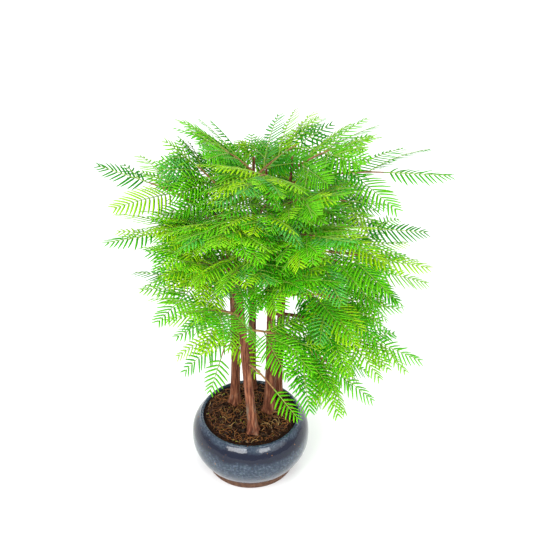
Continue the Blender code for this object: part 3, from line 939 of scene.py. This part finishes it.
# Trunks and boughs
def bark_relief(angle, height, seed):
    """Fibrous ridges that wander slowly round the limb as they rise, from about -1 to 1."""
    drift = DRIFT * noise.noise(Vector((seed, DRIFT_SLICE, height * DRIFT_ALONG)))
    x, y = math.cos(angle + drift), math.sin(angle + drift)
    coarse = noise.noise(Vector((x * COARSE_ROUND + seed, y * COARSE_ROUND, height * COARSE_ALONG)))
    fine = noise.noise(Vector((x * FINE_ROUND, y * FINE_ROUND + seed, height * FINE_ALONG)))
    return COARSE * coarse + FINE * fine


def add_trunk(name, trunk, bark):
    """The trunk of the solid, with its flare and root lobes, and the relief of its bark."""
    foot = GROUND + GAP
    turn = random.Random(name).uniform(0, math.tau)
    seed = random.Random(name).uniform(0, LAST_SEED)
    points = []
    for height in np.linspace(foot, mm(trunk.height), TRUNK_STATIONS):
        fade = math.exp(-(height - foot) / FLARE_HEIGHT)
        radius = trunk_radius(trunk, height) * (1 + FLARE * fade)
        middle = trunk_point(trunk, height)
        for angle, x, y in circle(TRUNK_SIDES):
            lobe = 1 + LOBE_DEPTH * fade * math.cos(ROOT_LOBES * angle + turn)
            r = radius * lobe * (1 + TRUNK_RELIEF * bark_relief(angle, height, seed))
            points.append((middle.x + r * x, middle.y + r * y, middle.z))
    mesh = mesh_from(points, tube_faces(TRUNK_STATIONS, TRUNK_SIDES))
    add_piece("trunk_" + name + "_bark", mesh, [bark], "bark", "trunk_" + name, angle=50)


def add_bough(mass, bark):
    """The bare bough that a long branch starts with, and the relief of its bark."""
    seed = random.Random(mass.branch.name).uniform(0, LAST_SEED)
    path = [mass.course.point(t) for t in spread(0, BOUGH_SHARE, BOUGH_STATIONS)]
    radii = spread(BOUGH_RADIUS, BOUGH_TIP_RADIUS, BOUGH_STATIONS)
    points, faces = tube(path, radii, BOUGH_SIDES)
    points = points.reshape(BOUGH_STATIONS, BOUGH_SIDES, 3)
    centres = np.array(path)[:, None]
    swell = np.ones((BOUGH_STATIONS, BOUGH_SIDES, 1))
    for j in range(BOUGH_STATIONS):
        for k, (angle, _, _) in enumerate(circle(BOUGH_SIDES)):
            swell[j, k] += BOUGH_RELIEF * bark_relief(angle, BOUGH_STEP * j, seed)
    points = centres + (points - centres) * swell
    node = "bough_" + mass.branch.name
    mesh = mesh_from(points.reshape(-1, 3), faces)
    add_piece(node + "_bark", mesh, [bark], "bark", node, angle=50)


# The pot and the soil
def wall_radius(height):
    """The outside of the bowl, which curls in below and above its belly."""
    if height < BELLY_HEIGHT:
        share = (BELLY_HEIGHT - height) / (BELLY_HEIGHT - FOOT_HEIGHT)
        return BELLY_RADIUS - (BELLY_RADIUS - BOWL_BASE_RADIUS) * share**CURL_BELOW
    share = (height - BELLY_HEIGHT) / (SHOULDER_HEIGHT - BELLY_HEIGHT)
    return BELLY_RADIUS - (BELLY_RADIUS - SHOULDER_RADIUS) * share**CURL_ABOVE


def turned(profile, wobble):
    """The mesh of a turned body from a profile of (radius, height), axis to axis, slightly uneven."""
    points = [(0, 0, profile[0][1])]
    for radius, height in profile[1:-1]:
        for _, x, y in circle(POT_TURNS):
            place = Vector((x * WOBBLES_ROUND, y * WOBBLES_ROUND, height * WOBBLES_UP))
            uneven = 1 + wobble * noise.noise(place)
            points.append((radius * uneven * x, radius * uneven * y, height))
    points.append((0, 0, profile[-1][1]))
    return mesh_from(points, turned_faces(len(profile) - 2, POT_TURNS))


def add_foot(clay):
    edge = (FOOT_RADIUS - EDGE_IN * FOOT_EDGE, EDGE_UP * FOOT_EDGE)
    profile = [(0, 0), (FOOT_RADIUS - FOOT_EDGE, 0), edge]
    profile += [(FOOT_RADIUS, z) for z in spread(FOOT_EDGE, FOOT_HEIGHT, FOOT_STATIONS)]
    profile += [(FOOT_RADIUS - FOOT_TOP_INSET, FOOT_HEIGHT), (0, FOOT_HEIGHT)]
    add_piece("pot_foot_clay", turned(profile, FOOT_WOBBLE), [clay], "clay", "pot_foot", angle=35)


def add_bowl(glaze):
    """The glazed bowl: its base, its curled wall, its rounded lip and its inside."""
    base = FOOT_HEIGHT + GAP
    profile = [(0, base)] + [(BOWL_BASE_RADIUS - inset, base) for inset in BASE_INSETS]
    outside = spread(base + WALL_START, LIP_HEIGHT - WALL_END, OUTER_STATIONS)
    profile += [(wall_radius(z), z) for z in outside]
    for angle in spread(math.radians(LIP_START_ANGLE), math.pi, LIP_STATIONS):
        across, up = LIP_RADIUS * math.cos(angle), LIP_RADIUS * math.sin(angle)
        profile.append((LIP_MIDDLE + across, LIP_HEIGHT + up))
    floor = base + FLOOR_THICKNESS
    inside = spread(LIP_HEIGHT - LIP_RADIUS, floor, INNER_STATIONS)
    profile += [(wall_radius(z) - WALL, z) for z in inside] + [(0, floor)]
    add_piece("pot_glazed", turned(profile, BOWL_WOBBLE), [glaze], "glaze", "pot", angle=60)


def soil_height(x, y):
    """The lumpy top of the soil, which falls a little towards the rim."""
    place = Vector((x, y, 0))
    lumps = sum(height * noise.noise(place * often) for height, often in LUMPS)
    edge = math.hypot(x, y) / SOIL_FLAT_RADIUS
    return GROUND + mm(lumps - SOIL_FALL * edge**SOIL_FALL_POWER)


def add_soil(soil):
    """The soil: its lumpy top in fine rings, and its side and floor in the bowl."""
    floor = FOOT_HEIGHT + 2 * GAP + FLOOR_THICKNESS
    rings = [(SOIL_FLAT_RADIUS * j / SOIL_RINGS, None) for j in range(1, SOIL_RINGS + 1)]
    rings.append((SOIL_EDGE_RADIUS, LIP_HEIGHT))
    heights = spread(LIP_HEIGHT - LIP_RADIUS, floor, SOIL_SIDE_STATIONS)
    rings += [(wall_radius(z) - WALL - GAP, z) for z in heights]
    points = [(0, 0, soil_height(0, 0))]
    for radius, height in rings:
        for _, x, y in circle(SOIL_TURNS):
            x, y = radius * x, radius * y
            points.append((x, y, soil_height(x, y) if height is None else height))
    points.append((0, 0, floor))
    faces = turned_faces(len(rings), SOIL_TURNS)[:, ::-1]
    add_piece("soil_surface", mesh_from(points, faces), [soil], "soil", "soil", angle=60)


# The litter
def on_soil(chance):
    """A place on the soil, away from the trunks."""
    while True:
        radius = SOIL_FLAT_RADIUS * LITTER_EDGE * math.sqrt(chance.random())
        angle = chance.uniform(0, math.tau)
        x, y = radius * math.cos(angle), radius * math.sin(angle)
        feet = [math.hypot(x - mm(t.foot[0]), y - mm(t.foot[1])) for t in TRUNKS.values()]
        if min(feet) > TRUNK_ROOM:
            return x, y


def fibre_path(chance):
    """A dry root fibre that arches and curls over the soil, and stops at its rim."""
    x, y = on_soil(chance)
    heading = chance.uniform(0, math.tau)
    curl = chance.uniform(-MOST_CURL, MOST_CURL)
    stations = chance.randint(*FIBRE_STATIONS)
    step = mm(chance.uniform(*FIBRE_STEP))
    arch = mm(chance.uniform(*FIBRE_ARCH))
    path = []
    for share in spread(0, 1, stations):
        if math.hypot(x, y) > SOIL_FLAT_RADIUS:
            break
        rise = arch * math.sin(math.pi * share) + mm(FIBRE_LIFT)
        path.append((x, y, soil_height(x, y) + rise))
        heading += curl * chance.uniform(*CURL_PLAY)
        x, y = x + step * math.cos(heading), y + step * math.sin(heading)
    return path


def add_fibres(chance):
    heap = Heap()
    for _ in range(FIBRES):
        path = fibre_path(chance)
        if len(path) >= FEWEST_STATIONS:
            thick = mm(chance.uniform(*FIBRE_RADIUS))
            kind = dealt(chance, often_of(FIBRE_TONES))
            heap.add(*tube(path, spread(thick, thick * FIBRE_TAPER, len(path)), FIBRE_SIDES), kind)
    add_piece("soil_fibres", heap.mesh(), materials_of(FIBRE_TONES, plain_material), "soil", angle=60)


def chip(chance, sizes, lift):
    """An irregular chip on the soil: a flat octahedron with its corners pulled about."""
    x, y = on_soil(chance)
    size = mm(chance.uniform(*sizes))
    flat = [(1, 0, 0), (0, 1, 0), (-1, 0, 0), (0, -1, 0)]
    corners = np.array(flat + [(0, 0, CHIP_HEIGHT), (0, 0, -CHIP_HEIGHT)])
    turn = chance.uniform(0, math.tau)
    spin = [(math.cos(turn), -math.sin(turn), 0), (math.sin(turn), math.cos(turn), 0), (0, 0, 1)]
    pulled = corners * [[chance.uniform(*CHIP_PLAY) * size] for _ in corners]
    narrowed = pulled * (1.0, chance.uniform(*CHIP_WIDTH), 1.0)
    faces = [(k, (k + 1) % 4, 4) for k in range(4)] + [((k + 1) % 4, k, 5) for k in range(4)]
    return narrowed @ spin + (x, y, soil_height(x, y) + mm(lift)), faces


def add_chips(chance, name, slot, count, sizes, lift, tones):
    heap = Heap()
    for _ in range(count):
        points, faces = chip(chance, sizes, lift)
        heap.add(points, faces, dealt(chance, often_of(tones)))
    add_piece(name, heap.mesh(), materials_of(tones, plain_material), slot)


def add_litter():
    """Root fibres, bark crumbs and moss flecks on the soil."""
    chance = random.Random("litter")
    add_fibres(chance)
    add_chips(chance, "soil_crumbs", "soil", CRUMBS, CRUMB_SIZE, 0, CRUMB_TONES)
    add_chips(chance, "soil_moss", "foliage", MOSS_FLECKS, MOSS_SIZE, MOSS_LIFT, MOSS_TONES)


# The stage
def add_floor():
    mesh = bpy.data.meshes.new("floor")
    corners = [(x * FLOOR_HALF, y * FLOOR_HALF, 0) for x, y in ((-1, -1), (1, -1), (1, 1), (-1, 1))]
    mesh.from_pydata(corners, [], [(0, 1, 2, 3)])
    pale = Nodes("pale_floor", 0.9)
    pale.set(Base_Color=(*FLOOR_TONE, 1))
    mesh.materials.append(pale.made)
    made = add_object("floor", mesh)
    made.location.z = -FLOOR_DROP


def add_world():
    """White light from all round, and colours shown as they are."""
    world = bpy.data.worlds.new("studio")
    world.use_nodes = True
    back = world.node_tree.nodes["Background"]
    back.inputs["Color"].default_value = (1, 1, 1, 1)
    back.inputs["Strength"].default_value = 1.0
    bpy.context.scene.world = world
    bpy.context.scene.view_settings.view_transform = "Standard"


def add_lamp(name, place, size, power):
    """A soft lamp that looks at the middle of the object."""
    light = bpy.data.lights.new(name, "AREA")
    light.shape = "RECTANGLE"
    light.energy = power
    light.size, light.size_y = size
    lamp = add_object(name, light)
    lamp.location = place
    lamp.rotation_euler = (LAMP_AIM - Vector(place)).to_track_quat("-Z", "Y").to_euler()


def add_camera():
    """Where the photograph was taken from, above the front."""
    data = bpy.data.cameras.new("camera")
    data.sensor_width, data.lens = SENSOR, LENS
    made = add_object("camera", data)
    made.location = CAMERA_PLACE
    made.rotation_euler = (math.radians(CAMERA_TILT), 0, 0)
    bpy.context.scene.camera = made


def main():
    add_camera()
    add_floor()
    add_world()
    for lamp in LAMPS:
        add_lamp(*lamp)
    add_foot(clay_material())
    add_bowl(glaze_material())
    add_soil(soil_material())
    add_litter()
    bark, rib, twig = bark_material(), rib_material(), twig_material()
    greens = materials_of(GREENS, leaf_material)
    for name, trunk in TRUNKS.items():
        add_trunk(name, trunk, bark)
    for mass in grow_masses():
        if mass.course.long:
            add_bough(mass, bark)
        add_foliage(mass, greens, rib, twig)


main()
